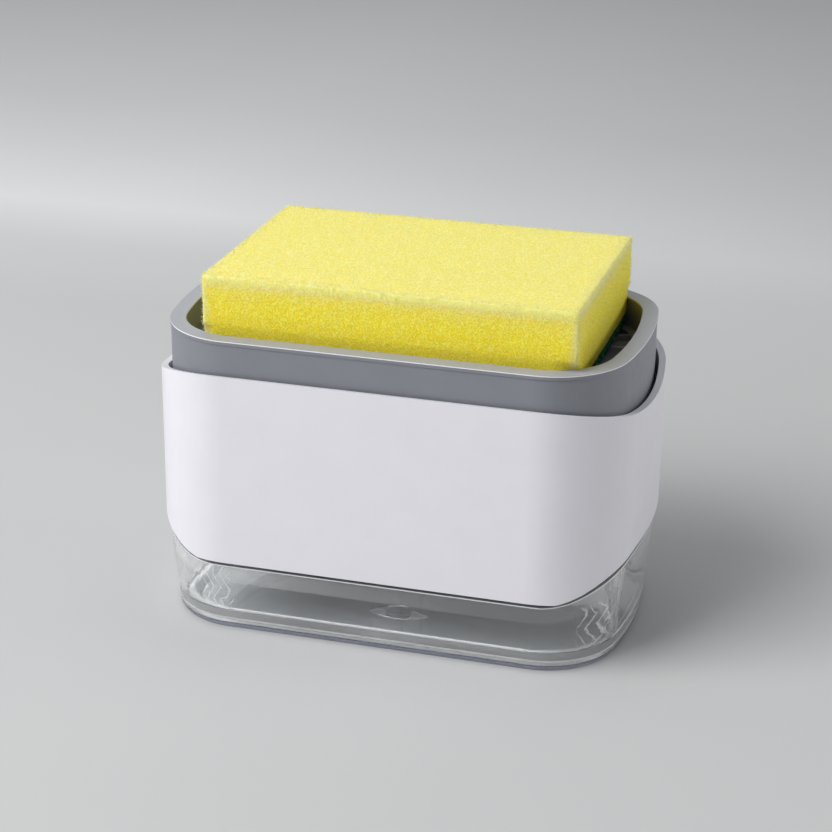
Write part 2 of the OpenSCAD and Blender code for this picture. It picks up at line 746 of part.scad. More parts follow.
// Foam block: its corners are squeezed in the pan and spring out over the rim
module sponge_foam() {
    low = rim_z + soft_gap;
    color([0.94, 0.9, 0.35]) {
        intersection() {
            translate([sponge_x, 0, 0]) block(sponge_l, sponge_d, foam_round, foam_z, foam_t);
            pan_space(foam_z - cut);
        }
        translate([sponge_x, 0, 0])
            block(sponge_l, sponge_d + 2 * foam_out, foam_round, low, foam_z + foam_t - low);
    }
}

tank();
sleeve();
deck();
rim_gasket();
flange_gasket();
pump_body();
pump_cap();
nut_washer();
pump_nut();
ball_cage();
inlet_ball();
dip_tube();
tube_foot();
return_spring();
piston();
piston_seal();
stem();
press_tray();
outlet_ball();
outlet_cap();
scour_pad();
sponge_foam();
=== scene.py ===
"""Soap pump caddy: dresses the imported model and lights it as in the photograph."""
import math
import random

import bpy
import numpy as np
from mathutils import Matrix, Vector, noise


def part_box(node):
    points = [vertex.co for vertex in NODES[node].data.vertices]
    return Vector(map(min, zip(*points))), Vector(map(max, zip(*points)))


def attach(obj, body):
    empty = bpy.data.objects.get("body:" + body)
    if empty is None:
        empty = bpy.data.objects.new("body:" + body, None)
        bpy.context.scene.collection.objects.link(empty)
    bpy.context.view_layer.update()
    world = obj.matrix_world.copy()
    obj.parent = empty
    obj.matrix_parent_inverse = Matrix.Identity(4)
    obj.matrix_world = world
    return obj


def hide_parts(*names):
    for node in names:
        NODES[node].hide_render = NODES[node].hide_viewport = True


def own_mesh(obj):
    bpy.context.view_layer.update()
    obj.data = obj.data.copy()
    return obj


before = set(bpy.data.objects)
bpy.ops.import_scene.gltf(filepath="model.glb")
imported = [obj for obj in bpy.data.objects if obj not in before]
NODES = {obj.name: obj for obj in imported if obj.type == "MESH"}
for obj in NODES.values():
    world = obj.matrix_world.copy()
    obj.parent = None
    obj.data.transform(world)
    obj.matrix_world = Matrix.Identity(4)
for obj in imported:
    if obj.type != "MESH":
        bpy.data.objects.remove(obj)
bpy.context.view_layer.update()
MM = 0.001

# Camera, found by fitting the outlines of the rim, sleeve and sponge; its angles are in degrees
IMAGE_SIDE_PX = 832
FOCAL_PX = 2228.0
SENSOR_MM = 36.0
CAMERA_AZIMUTH = 16.18
CAMERA_ELEVATION = 21.68
CAMERA_ROLL = 0.48
CAMERA_DISTANCE = 605 * MM
CAMERA_TARGET = Vector((0.25 * MM, 0.0, 52.85 * MM))
CLIP_START = 10 * MM

# Outline of the sleeve
SLEEVE_SIDE_X, SLEEVE_SIDE_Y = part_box("sleeve")[1][0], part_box("sleeve")[1][1]
SLEEVE_CORNER = 23.2 * MM
END_R = 124.7 * MM

# The shoe is the part of the tank that shows; its upper edge rises towards the ends
SHOE_TOP = 19.8 * MM
SHOE_RISE = 9.0 * MM
SHOE_CURVE = 3.8
SHOE_SIDE_Y = SLEEVE_SIDE_Y - 1.6 * MM
TANK_FLOOR_Z = 5.0 * MM

# Surfaces of the tank, by how far inside the sleeve's outline they lie; its corners, across and aside
WALL_INSET = (3.1 * MM, 3.3 * MM)
FOOT_INSET = (4.5 * MM, 4.7 * MM)
CORNER_ACROSS = (17 * MM, 25 * MM)
CORNER_ASIDE = (42 * MM, 49 * MM)

# How much of the shoe the sleeve's edge hides at both ends, and besides at the left one
ENDS_HIDDEN, ENDS_SPAN = 0.75 * MM, (44 * MM, 52 * MM)
LEFT_HIDDEN, LEFT_SPAN = 1.2 * MM, (-60 * MM, -46 * MM)

# Painted shade along the shoe's edge, in the gap under the sleeve: where it starts above the edge and ends
# below it
GAP_SHADE_START = (-0.9 * MM, -0.8 * MM)
GAP_SHADE_END = (0.04 * MM, 0.1 * MM)
GAP_SHADE_SHARE = 0.75
GAP_SHADE_COLOR = (0.12, 0.12, 0.135)

# Painted highlight, a bright line below the painted shade, and painted light below that, stronger at the
# left than at the right
TOP_HIGHLIGHT, TOP_HIGHLIGHT_SOFT = (0.06 * MM, 0.5 * MM), 0.08 * MM
UPPER_GLOW_START = (0.5 * MM, 0.9 * MM)
UPPER_GLOW_END = (4.9 * MM, 5.6 * MM)
UPPER_GLOW_SHARE = (0.23, 0.07)
UPPER_GLOW_SPAN = (-45 * MM, 35 * MM)

# Painted highlights on the tank's floor: a bright line on the fillet round it, and on the outline of the
# eye-shaped mark sunk in it
FILLET_HEIGHT, FILLET_SOFT = (TANK_FLOOR_Z - 0.1 * MM, TANK_FLOOR_Z + 1.1 * MM), 0.1 * MM
FILLET_START = (4.9 * MM, 5.1 * MM)
FILLET_END = (6.2 * MM, 7.6 * MM)
FILLET_IN_CORNER = 0.45
EYE_HEIGHT, EYE_SOFT = (TANK_FLOOR_Z - 0.75 * MM, TANK_FLOOR_Z - 0.4 * MM), 0.05 * MM
EYE_START = (8 * MM, 10 * MM)
EYE_HIGHLIGHT = 0.8

# Painted bands of light and shade on the outside of the tank's foot from the bottom up: height in mm, how
# much they cover the clear plastic, and their tint
BOTTOM_SHADE, GREY, LINE_SHADE = (0.1, 0.1, 0.12), (0.28, 0.29, 0.38), (0.09, 0.1, 0.14)
BRIGHT, PALE, WHITE = (0.9, 0.9, 0.92), (0.95, 0.96, 0.96), (0.97, 0.97, 0.97)
FOOT_BANDS = ((0.0, 0.7, BOTTOM_SHADE), (0.6, 0.7, BOTTOM_SHADE), (0.85, 0.45, GREY), (1.75, 0.45, GREY),
        (1.9, 0.6, LINE_SHADE), (2.15, 0.6, LINE_SHADE), (2.3, 0.08, BRIGHT), (3.1, 0.08, PALE),
        (3.2, 0.55, WHITE), (3.65, 0.55, WHITE), (3.8, 0.16, PALE), (5.7, 0.24, PALE), (6.2, 0.0, PALE))
FOOT_TOP = FOOT_BANDS[-1][0] * MM
FOOT_FADE = 0.4 * MM
FOOT_STREAK = 1.1 * MM
FROST_TOP, FROST_ROUGH = (1.4 * MM, 1.7 * MM), 0.5

# Painted highlights: bright zigzag glints in the tank's corners
ZIGZAG = 4.2 * MM
ZIGZAG_LEAN = 0.6
ZIGZAG_GAP = 2.2 * MM
ZIGZAG_LINE = (0.06, 0.17)
ZIGZAG_WOBBLE, ZIGZAG_WOBBLE_SIZE = 0.9 * MM, 5 * MM
ZIGZAG_PATCH, ZIGZAG_GLINT_SHARE = 4 * MM, (0.3, 0.55)
ZIGZAG_LEFT, ZIGZAG_LEFT_SOFT = (38 * MM, 50 * MM), 2.5 * MM
ZIGZAG_RIGHT, ZIGZAG_RIGHT_SOFT = (53 * MM, 62 * MM), 1.5 * MM
ZIGZAG_HEIGHT, ZIGZAG_HEIGHT_SOFT = (5.5 * MM, 21 * MM), 3 * MM

# Noise: most of its values lie in this span
NOISE_SPAN = (0.3, 0.7)

# Moulded plastic: sizes of its mottling, uneven polish and grain
MOTTLE = 9 * MM
POLISH = 3.5 * MM
GRAIN, GRAIN_DEPTH = 0.9 * MM, 0.012 * MM
TRAY_GRAIN, TRAY_GRAIN_DEPTH = 0.7 * MM, 0.015 * MM

# Clear plastic: sizes of its clouds, uneven polish and slow waves; the tank's corners wave most
CLEAR_IOR = 1.5
CLOUD = 14 * MM
CLEAR_POLISH = 2 * MM
WAVE, WAVE_DEPTH = 9 * MM, 0.004 * MM
TANK_WAVE, TANK_WAVE_DEPTH = 7 * MM, 0.14 * MM
SHADOW_TINT = (0.86, 0.87, 0.88)

# Rubber and steel
RUBBER_CLOUD, RUBBER_POLISH = 2 * MM, 1.2 * MM
RUBBER_GRAIN, RUBBER_GRAIN_DEPTH = 0.5 * MM, 0.03 * MM
STEEL_LINES, STEEL_LINES_DEPTH = 1.2 * MM, 0.004 * MM

# Tray's rim: where the painted reflection on its top starts and is full below the rim's top, and the painted
# highlight round its edge
RIM_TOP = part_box("press_tray")[1][2]
RIM_REFLECTION = (RIM_TOP - 0.5 * MM, RIM_TOP - 0.1 * MM)
RIM_HIGHLIGHT, RIM_HIGHLIGHT_SOFT = (RIM_TOP - 0.42 * MM, RIM_TOP - 0.06 * MM), 0.1 * MM

# Outline of the tray's pan, in which the sponge sits, and the height over which it squeezes the sponge
PAN_CORNER = 17.0 * MM
PAN_CORNER_X = 41.4 * MM
PAN_CORNER_Y = 16.2 * MM
PAN_SIDE_Y = 32.8 * MM
SOFT_GAP = 0.3 * MM
SQUEEZE_START = 2.8 * MM
SQUEEZE_EASE = 3.0 * MM

# Floor: its size, its painted light by share of the way from a place in front of the object to one behind
# it, and the places between which the left tones give way to the right ones
FLOOR_SIZE = 8000 * MM
FLOOR_RANGE = (-400 * MM, 1000 * MM)
FLOOR_LEFT = ((0.0, 0.57), (0.43, 0.58), (0.48, 0.65), (0.52, 0.8), (0.58, 0.71), (0.65, 0.64), (0.9, 0.535))
FLOOR_RIGHT = ((0.0, 0.55), (0.4, 0.53), (0.55, 0.55), (0.65, 0.5), (0.9, 0.45))
FLOOR_ACROSS = (-220 * MM, 220 * MM)
FLOOR_CLOUD = 60 * MM

# Lamps: name, place and what it faces in metres, width and height in metres, watts
LAMPS = (("key", (-0.68, -0.68, 1.05), (0, 0, 0.05), (0.9, 0.9), 19.5),
         ("back", (-0.15, 1.15, 0.85), (0, 0, 0.05), (1.5, 0.7), 1.8),
         ("low_fill", (1.1, 0.25, 0.3), (0, 0, 0.08), (0.6, 0.3), 3.4))

# The world is dimmest towards this side
WORLD_COLOR = (0.95, 0.97, 1.0)
WORLD_DIM_SIDE = (0.66, -0.75, 0.0)
WORLD_DIM_SPAN = (0.0, 0.9)
WORLD_STRENGTH = (0.35, 0.1)

# Seeds of all that is random
FOAM_SEED, FUZZ_SEED = 3.7, 23
PAD_SEED, FIBRE_SEED = 9.1, 11

# Foam's shape
FOAM_CELL = 0.38 * MM
FOAM_EDGE_ROUND = 0.6 * MM
FOAM_ROUGH, FOAM_ROUGH_SIZE = 0.14 * MM, 0.55 * MM

# Foam's colours from pore to strut: on its flanks, on its cut top with painted light, and along its edges
# with more painted light
FOAM_DEEP = ((0.1, (0.88, 0.70, 0.012)), (0.5, (0.98, 0.80, 0.036)), (0.9, (1.0, 0.90, 0.13)))
FOAM_LIT_TOP = ((0.1, (0.83, 0.73, 0.15)), (0.55, (0.89, 0.81, 0.24)), (0.95, (0.94, 0.87, 0.36)))
FOAM_LIT_EDGE = ((0.1, (1.0, 0.9, 0.2)), (0.55, (1.0, 0.94, 0.3)), (0.95, (1.0, 0.96, 0.42)))
# Painted shade on the foam's lowest part: its colour, its share at the rim, and the height where it is gone
FOAM_SHADE, FOAM_SHADE_SHARE = (0.3, 0.22, 0.01), 0.25
FOAM_SHADE_TOP = RIM_TOP + 7 * MM
PORE, PORE_DEPTH = 0.46 * MM, 0.12 * MM
STRUT = 0.35 * MM
FOAM_MOTTLE = 5 * MM
FOAM_GLOW_DEPTH = 5 * MM

# Foam's painted light: 0 for its flanks' colours, 1 for its top's, 2 for its edges'
TOP_LIGHT, TOP_EDGE_LIGHT = 0.78, 0.1
TOP_BAND, TOP_BAND_LIGHT, TOP_BAND_TAIL_LIGHT = 2.2 * MM, 1.9, 0.35
SIDE_BAND, SIDE_BAND_LIGHT = 1.4 * MM, 1.5
FUZZ_LIGHT = 1.6

# Foam's fuzz: cut struts, thickest along its edges and none near the tray's rim
FUZZ = 12000
FUZZ_R = 0.035 * MM
FUZZ_LENGTH = (0.2 * MM, 0.6 * MM)
FUZZ_ROOT = 0.1 * MM
FUZZ_SPREAD = 0.12 * MM
FUZZ_LEAN = 0.9
FUZZ_EVERYWHERE, FUZZ_EDGE, FUZZ_EDGE_BAND = 0.1, 0.7, 1.6 * MM
FUZZ_CLEAR = 0.6 * MM

# Return spring
SPRING_WIRE = 0.9 * MM
SPRING_TURNS = 4.5
SPRING_RINGS = 40
SPRING_SIDES = 12

# Scouring pad
PAD_CELL = 0.5 * MM
PAD_EDGE_ROUND = 0.5 * MM
PAD_ROUGH, PAD_ROUGH_SIZE = 0.34 * MM, 0.8 * MM
PAD_INSET = 0.15 * MM
TANGLE, TANGLE_DEPTH = 0.7 * MM, 0.3 * MM
PAD_GREENS = ((0.34, (0.002, 0.03, 0.012)), (0.5, (0.012, 0.17, 0.065)), (0.64, (0.1, 0.6, 0.28)))

# Pad's fibres
FIBRES = 2600
FIBRE_R = 0.08 * MM
FIBRE_LENGTH = (1.2 * MM, 2.8 * MM)
FIBRE_BOW = 0.35 * MM
FIBRE_INSET = 0.3 * MM
FIBRE_REACH = 0.1 * MM
FIBRE_STEPS = (-0.5, -0.17, 0.17, 0.5)
FIBRES_ON_LONG_SIDES = 0.6

# Fuzz and fibres are three-sided tubes, whose radius varies by this much
HAIR_SIDES = 3
HAIR_SPREAD = (0.7, 1.3)

# Rounding of the carried-over nodes: flat facets are merged, and edges sharper than this rounded
FLAT_ANGLE = 0.8
SHARP_ANGLE = 35
ROUNDED = (("sleeve", 0.6 * MM, 4), ("press_tray", 0.5 * MM, 4), ("tank", 0.3 * MM, 3),
           ("deck", 0.25 * MM, 3), ("pump_nut", 0.3 * MM, 3), ("outlet_cap", 0.25 * MM, 3))


def make_camera():
    azimuth, elevation = math.radians(CAMERA_AZIMUTH), math.radians(CAMERA_ELEVATION)
    roll = math.radians(CAMERA_ROLL)
    back = Vector((math.sin(azimuth) * math.cos(elevation), -math.cos(azimuth) * math.cos(elevation),
                   math.sin(elevation)))
    right = Vector((math.cos(azimuth), math.sin(azimuth), 0.0))
    up = back.cross(right)
    turned_right = right * math.cos(roll) + up * math.sin(roll)
    turned_up = up * math.cos(roll) - right * math.sin(roll)
    data = bpy.data.cameras.new("camera")
    data.sensor_width = SENSOR_MM
    data.lens = FOCAL_PX / IMAGE_SIDE_PX * SENSOR_MM
    data.clip_start = CLIP_START
    camera = bpy.data.objects.new("camera", data)
    turn = Matrix((turned_right, turned_up, back)).transposed().to_4x4()
    camera.matrix_world = Matrix.Translation(CAMERA_TARGET + back * CAMERA_DISTANCE) @ turn
    bpy.context.scene.collection.objects.link(camera)
    bpy.context.scene.camera = camera


def opaque(color):
    return (*color, 1.0)


def shade(color, share):
    return tuple(min(c * share, 1.0) for c in color)


class Shader:
    """A material with one Principled shader, and short calls that add nodes to it."""

    def __init__(self, name, **sockets):
        self.material = bpy.data.materials.new(name)
        self.material.use_nodes = True
        self.tree = self.material.node_tree
        self.shader = self.tree.nodes["Principled BSDF"]
        self.place = self.tree.nodes.new("ShaderNodeTexCoord").outputs["Object"]
        for key, value in sockets.items():
            self.shader.inputs[key.replace("_", " ")].default_value = value

    def plug(self, socket, value):
        """Links a socket to another node's output, or gives it a plain value."""
        if isinstance(value, bpy.types.NodeSocket):
            self.tree.links.new(value, socket)
        else:
            socket.default_value = value

    def link(self, socket, value):
        self.tree.links.new(value, self.shader.inputs[socket])

    def add(self, kind, inputs=None, **settings):
        node = self.tree.nodes.new("ShaderNode" + kind)
        for key, value in settings.items():
            setattr(node, key, value)
        for key, value in (inputs or {}).items():
            self.plug(node.inputs[key], value)
        return node

    def xyz(self):
        return self.add("SeparateXYZ", {"Vector": self.place}).outputs

    def noise(self, size, detail=3.0, rough=0.55, stretch=None):
        place = self.place
        if stretch:
            place = self.add("Mapping", {"Vector": place, "Scale": stretch}).outputs["Vector"]
        inputs = {"Vector": place, "Scale": 1.0 / size, "Detail": detail, "Roughness": rough}
        return self.add("TexNoise", inputs).outputs["Fac"]

    def cells(self, size):
        inputs = {"Vector": self.place, "Scale": 1.0 / size, "Randomness": 1.0}
        return self.add("TexVoronoi", inputs).outputs["Distance"]

    def ramp(self, value, *stops):
        node = self.add("ValToRGB", {"Fac": value})
        ramp = node.color_ramp
        while len(ramp.elements) < len(stops):
            ramp.elements.new(0.5)
        for element, (at, color) in zip(ramp.elements, stops):
            element.position = at
            element.color = opaque(color)
        return node.outputs["Color"]

    def grey_ramp(self, value, *stops):
        return self.ramp(value, *[(at, (tone,) * 3) for at, tone in stops])

    def tones(self, value, color, low, high):
        """Spreads a noise over two shades of a colour."""
        return self.ramp(value, *zip(NOISE_SPAN, (shade(color, low), shade(color, high))))

    def scale(self, value, low, high, start, end):
        """Goes from low at the start to high at the end, and stays level past both."""
        inputs = {"Value": value, "From Min": start, "From Max": end, "To Min": low, "To Max": high}
        return self.add("MapRange", inputs).outputs["Result"]

    def above(self, value, start, end):
        return self.scale(value, 0.0, 1.0, start, end)

    def under(self, value, start, end):
        return self.scale(value, 1.0, 0.0, start, end)

    def spread(self, value, low, high):
        """Spreads a noise from low to high."""
        return self.scale(value, low, high, *NOISE_SPAN)

    def band(self, value, low, high, soft):
        """1 between two values and 0 beyond them."""
        return self.product(self.above(value, low, low + soft), self.under(value, high - soft, high))

    def mix(self, factor, a, b, blend="MIX"):
        node = self.add("Mix", data_type="RGBA", blend_type=blend)
        for socket, value in ((node.inputs[0], factor), (node.inputs[6], a), (node.inputs[7], b)):
            self.plug(socket, value)
        return node.outputs[2]

    def bump(self, height, depth, strength=1.0):
        inputs = {"Height": height, "Distance": depth, "Strength": strength}
        return self.add("Bump", inputs).outputs["Normal"]

    def math(self, operation, a, b=None, c=None):
        inputs = {i: v for i, v in enumerate((a, b, c)) if v is not None}
        return self.add("Math", inputs, operation=operation).outputs[0]

    def chain(self, operation, first, *others):
        for other in others:
            first = self.math(operation, first, other)
        return first

    def product(self, *values):
        return self.chain("MULTIPLY", *values)

    def most(self, *values):
        return self.chain("MAXIMUM", *values)


def plastic(name, color, roughness):
    """Moulded plastic: faint mottling, uneven polish and a fine grain."""
    s = Shader(name)
    s.link("Base Color", s.tones(s.noise(MOTTLE, 5.0), color, 0.988, 1.012))
    s.link("Roughness", s.spread(s.noise(POLISH, 4.0), roughness * 0.88, roughness * 1.12))
    s.link("Normal", s.bump(s.noise(GRAIN, 4.0, 0.6), GRAIN_DEPTH))
    return s.material


def tray_plastic(name, color, reflection_color, highlight_color):
    """The tray's plastic, paler on the top of its rim with a painted reflection, and palest on the rim's
    rounded edge with a painted highlight.
    """
    s = Shader(name, Specular_IOR_Level=0.9)
    mottle = s.noise(MOTTLE, 5.0)
    height = s.xyz()["Z"]
    reflection = s.tones(mottle, reflection_color, 0.98, 1.02)
    body = s.mix(s.above(height, *RIM_REFLECTION), s.tones(mottle, color, 0.97, 1.03), reflection)
    edge = s.band(height, *RIM_HIGHLIGHT, RIM_HIGHLIGHT_SOFT)
    s.link("Base Color", s.mix(edge, body, opaque(highlight_color)))
    s.link("Roughness", s.spread(s.noise(POLISH, 4.0), 0.42, 0.5))
    s.link("Normal", s.bump(s.noise(TRAY_GRAIN, 4.0, 0.6), TRAY_GRAIN_DEPTH))
    return s.material


def rubber(name, color):
    s = Shader(name)
    s.link("Base Color", s.tones(s.noise(RUBBER_CLOUD, 5.0), color, 0.75, 1.25))
    s.link("Roughness", s.spread(s.noise(RUBBER_POLISH), 0.6, 0.85))
    s.link("Normal", s.bump(s.noise(RUBBER_GRAIN), RUBBER_GRAIN_DEPTH))
    return s.material


def steel(name, color, roughness):
    s = Shader(name, Metallic=1.0)
    lines = s.noise(STEEL_LINES, 4.0, 0.6, stretch=(1.0, 1.0, 5.0))
    s.link("Base Color", s.tones(lines, color, 0.9, 1.05))
    s.link("Roughness", s.spread(lines, roughness * 0.7, roughness * 1.3))
    s.link("Normal", s.bump(lines, STEEL_LINES_DEPTH))
    return s.material


def clear_shader(name):
    """Clear plastic that lets the lamps' light straight through, tinted at each surface."""
    s = Shader(name, Transmission_Weight=1.0, IOR=CLEAR_IOR)
    through = s.add("BsdfTransparent", {"Color": opaque(SHADOW_TINT)}).outputs[0]
    is_shadow = s.add("LightPath").outputs["Is Shadow Ray"]
    both = s.add("MixShader", {0: is_shadow, 1: s.shader.outputs[0], 2: through}).outputs[0]
    s.tree.links.new(both, s.tree.nodes["Material Output"].inputs["Surface"])
    return s


def clear_tint(s, color):
    """A clear plastic's colour, faintly clouded."""
    return s.tones(s.noise(CLOUD, 3.0), color, 0.985, 1.0)


def clear_polish(s, roughness):
    """A clear plastic's uneven polish."""
    return s.spread(s.noise(CLEAR_POLISH, 3.0), roughness * 0.6, roughness * 1.4)


def tube_plastic(name, color):
    """The dip tube's clear plastic, with the slow waves of a drawn wall."""
    s = clear_shader(name)
    s.link("Base Color", clear_tint(s, color))
    s.link("Roughness", clear_polish(s, 0.05))
    s.link("Normal", s.bump(s.noise(WAVE, 2.0), WAVE_DEPTH))
    return s.material


def tank_plastic(name, color):
    """The tank's clear plastic: painted highlights along its edges and in its corners, painted shade under
    the sleeve's edge and painted bands of light and shade at its foot; its underside is frosted, its corners
    wavy.
    """
    s = clear_shader(name)
    place = s.xyz()
    height, across, aside = place["Z"], s.math("ABSOLUTE", place["Y"]), s.math("ABSOLUTE", place["X"])
    inset = outline_inset(s, aside, across)
    outside, foot_side = s.under(inset, *WALL_INSET), s.under(inset, *FOOT_INSET)
    corner = s.product(s.above(across, *CORNER_ACROSS), s.above(aside, *CORNER_ASIDE))
    gap_shade, edge_highlights = shoe_edge(s, place, across, aside)
    gap_shade = s.product(gap_shade, outside)
    lines = s.most(s.product(s.most(edge_highlights, zigzag_glints(s, place, aside)), outside),
                   s.product(gap_shade, GAP_SHADE_SHARE), floor_highlights(s, height, inset, corner))
    painted_bands, band_tone = painted_foot_bands(s, height)
    at_foot = s.product(foot_side, s.under(height, FOOT_TOP - FOOT_FADE, FOOT_TOP))
    body = s.mix(at_foot, clear_tint(s, color), band_tone)
    frost = s.scale(height, FROST_ROUGH, 0.0, *FROST_TOP)
    waves = s.noise(TANK_WAVE, 2.0, 0.5, stretch=(1.0, 1.0, 1.6))
    s.link("Base Color", s.mix(gap_shade, body, opaque(GAP_SHADE_COLOR)))
    s.link("Transmission Weight", s.scale(s.most(lines, s.product(painted_bands, foot_side)), 1.0, 0.04, 0.0, 1.0))
    s.link("Roughness", s.math("ADD", frost, clear_polish(s, 0.02)))
    s.link("Normal", s.bump(s.product(waves, s.scale(corner, 0.05, 1.0, 0.0, 1.0)), TANK_WAVE_DEPTH))
    return s.material


def outline_inset(s, aside, across):
    """How far a point lies inside the sleeve's outline."""
    bowed = s.math("MULTIPLY_ADD", s.math("POWER", across, 2.0), 0.5 / END_R, aside)
    out_x = s.math("MAXIMUM", s.math("SUBTRACT", bowed, SLEEVE_SIDE_X - SLEEVE_CORNER), 0.0)
    out_y = s.math("MAXIMUM", s.math("SUBTRACT", across, SLEEVE_SIDE_Y - SLEEVE_CORNER), 0.0)
    far = s.math("SQRT", s.math("ADD", s.math("POWER", out_x, 2.0), s.math("POWER", out_y, 2.0)))
    return s.math("SUBTRACT", SLEEVE_CORNER, far)


def shoe_edge(s, place, across, aside):
    """The painted shade along the shoe's edge, and how strong the painted highlight and the painted light
    below it are.
    """
    along = s.math("MINIMUM", s.math("DIVIDE", across, SHOE_SIDE_Y), 1.0)
    rise = s.math("SUBTRACT", 1.0, s.math("POWER", along, SHOE_CURVE))
    drop = s.math("SUBTRACT", s.math("MULTIPLY_ADD", rise, SHOE_RISE, SHOE_TOP), place["Z"])
    hidden = s.math("ADD", s.scale(aside, 0.0, ENDS_HIDDEN, *ENDS_SPAN),
                    s.scale(place["X"], LEFT_HIDDEN, 0.0, *LEFT_SPAN))
    below = s.math("SUBTRACT", drop, hidden)
    gap_shade = s.product(s.under(below, *GAP_SHADE_END), s.above(drop, *GAP_SHADE_START))
    upper_glow = s.product(s.above(below, *UPPER_GLOW_START), s.under(below, *UPPER_GLOW_END),
                     s.scale(place["X"], *UPPER_GLOW_SHARE, *UPPER_GLOW_SPAN))
    return gap_shade, s.most(s.band(below, *TOP_HIGHLIGHT, TOP_HIGHLIGHT_SOFT), upper_glow)


def floor_highlights(s, height, inset, corner):
    """The painted highlights on the tank's floor: on its fillet, and on the walls of the eye-shaped mark."""
    fillet_highlight = s.product(s.band(height, *FILLET_HEIGHT, FILLET_SOFT), s.above(inset, *FILLET_START),
                       s.under(inset, *FILLET_END), s.scale(corner, 1.0, FILLET_IN_CORNER, 0.0, 1.0))
    eye_highlight = s.product(s.band(height, *EYE_HEIGHT, EYE_SOFT), s.above(inset, *EYE_START), EYE_HIGHLIGHT)
    return s.most(fillet_highlight, eye_highlight)


def painted_foot_bands(s, height):
    """How much the painted bands of light and shade cover the outside of the tank's foot, with fine level
    streaks, and their tint.
    """
    share = s.math("DIVIDE", height, FOOT_TOP)
    painted_bands = s.grey_ramp(share, *[(z * MM / FOOT_TOP, milk) for z, milk, _ in FOOT_BANDS])
    streak = s.spread(s.noise(FOOT_STREAK, 3.0, 0.6, stretch=(0.05, 0.05, 1.0)), 0.75, 1.25)
    band_tone = s.ramp(share, *[(z * MM / FOOT_TOP, band_tone) for z, _, band_tone in FOOT_BANDS])
    return s.product(painted_bands, streak), band_tone


def zigzag_glints(s, place, aside):
    """Painted highlights: crisp glints that run up the tank's corners in zigzags, where the inner corner is
    seen bent.
    """
    wobble = s.spread(s.noise(ZIGZAG_WOBBLE_SIZE, 2.0), -ZIGZAG_WOBBLE, ZIGZAG_WOBBLE)
    fold = s.math("PINGPONG", s.math("ADD", place["Z"], wobble), ZIGZAG)
    sideways = s.math("ADD", s.math("MULTIPLY_ADD", fold, ZIGZAG_LEAN, aside), s.product(wobble, 0.4))
    beat = s.math("FRACT", s.math("DIVIDE", sideways, ZIGZAG_GAP))
    line = s.under(s.math("ABSOLUTE", s.math("SUBTRACT", beat, 0.5)), *ZIGZAG_LINE)
    left = s.product(s.band(aside, *ZIGZAG_LEFT, ZIGZAG_LEFT_SOFT), s.math("LESS_THAN", place["X"], 0.0))
    right = s.product(s.band(aside, *ZIGZAG_RIGHT, ZIGZAG_RIGHT_SOFT),
                      s.math("GREATER_THAN", place["X"], 0.0))
    tall = s.band(place["Z"], *ZIGZAG_HEIGHT, ZIGZAG_HEIGHT_SOFT)
    patchy = s.scale(s.noise(ZIGZAG_PATCH, 2.0), *ZIGZAG_GLINT_SHARE, 0.35, 0.65)
    return s.product(line, s.most(left, right), tall, patchy)


def foam_material():
    """Open-celled foam: deep yellow pores between pale struts, lighter with painted light on its top and
    palest with painted light along the cut edges, and painted shade low down by the rim.
    """
    s = Shader("foam", Roughness=0.85, Specular_IOR_Level=0.25, Subsurface_Weight=0.5,
               Subsurface_Scale=FOAM_GLOW_DEPTH, Subsurface_Radius=(1.0, 0.75, 0.25))
    pores = s.scale(s.cells(PORE), 0.0, 1.0, 0.25, 0.75)
    mesh = s.math("ADD", pores, s.spread(s.noise(STRUT, 3.0, 0.65), -0.25, 0.25))
    painted_light = s.math("ADD", s.add("Attribute", attribute_name="painted_light").outputs["Fac"],
                  s.spread(s.noise(FOAM_MOTTLE, 3.0), -0.1, 0.1))
    color = s.mix(s.above(painted_light, 0.0, 1.0), s.ramp(mesh, *FOAM_DEEP), s.ramp(mesh, *FOAM_LIT_TOP))
    color = s.mix(s.above(painted_light, 1.0, 2.0), color, s.ramp(mesh, *FOAM_LIT_EDGE))
    shaded = s.scale(s.xyz()["Z"], FOAM_SHADE_SHARE, 0.0, RIM_TOP, FOAM_SHADE_TOP)
    s.link("Base Color", s.mix(shaded, color, opaque(FOAM_SHADE)))
    s.link("Normal", s.bump(mesh, PORE_DEPTH, 0.4))
    return s.material


def scourer_material():
    s = Shader("scourer", Roughness=0.75, Specular_IOR_Level=0.3)
    tangle = s.noise(TANGLE, 5.0, 0.7)
    s.link("Base Color", s.ramp(tangle, *PAD_GREENS))
    s.link("Normal", s.bump(tangle, TANGLE_DEPTH))
    return s.material


def dress(node, material):
    """Puts a material on a carried-over node."""
    piece = NODES[node]
    for place in piece.material_slots:
        place.material = material


def soften(node, width, segments):
    """Merges a node's flat facets and rounds its sharp edges."""
    piece = NODES[node]
    merge = piece.modifiers.new("merge", "DECIMATE")
    merge.decimate_type = "DISSOLVE"
    merge.angle_limit = math.radians(FLAT_ANGLE)
    bevel = piece.modifiers.new("round", "BEVEL")
    bevel.limit_method = "ANGLE"
    bevel.angle_limit = math.radians(SHARP_ANGLE)
    bevel.width = width
    bevel.segments = segments
    bevel.harden_normals = True


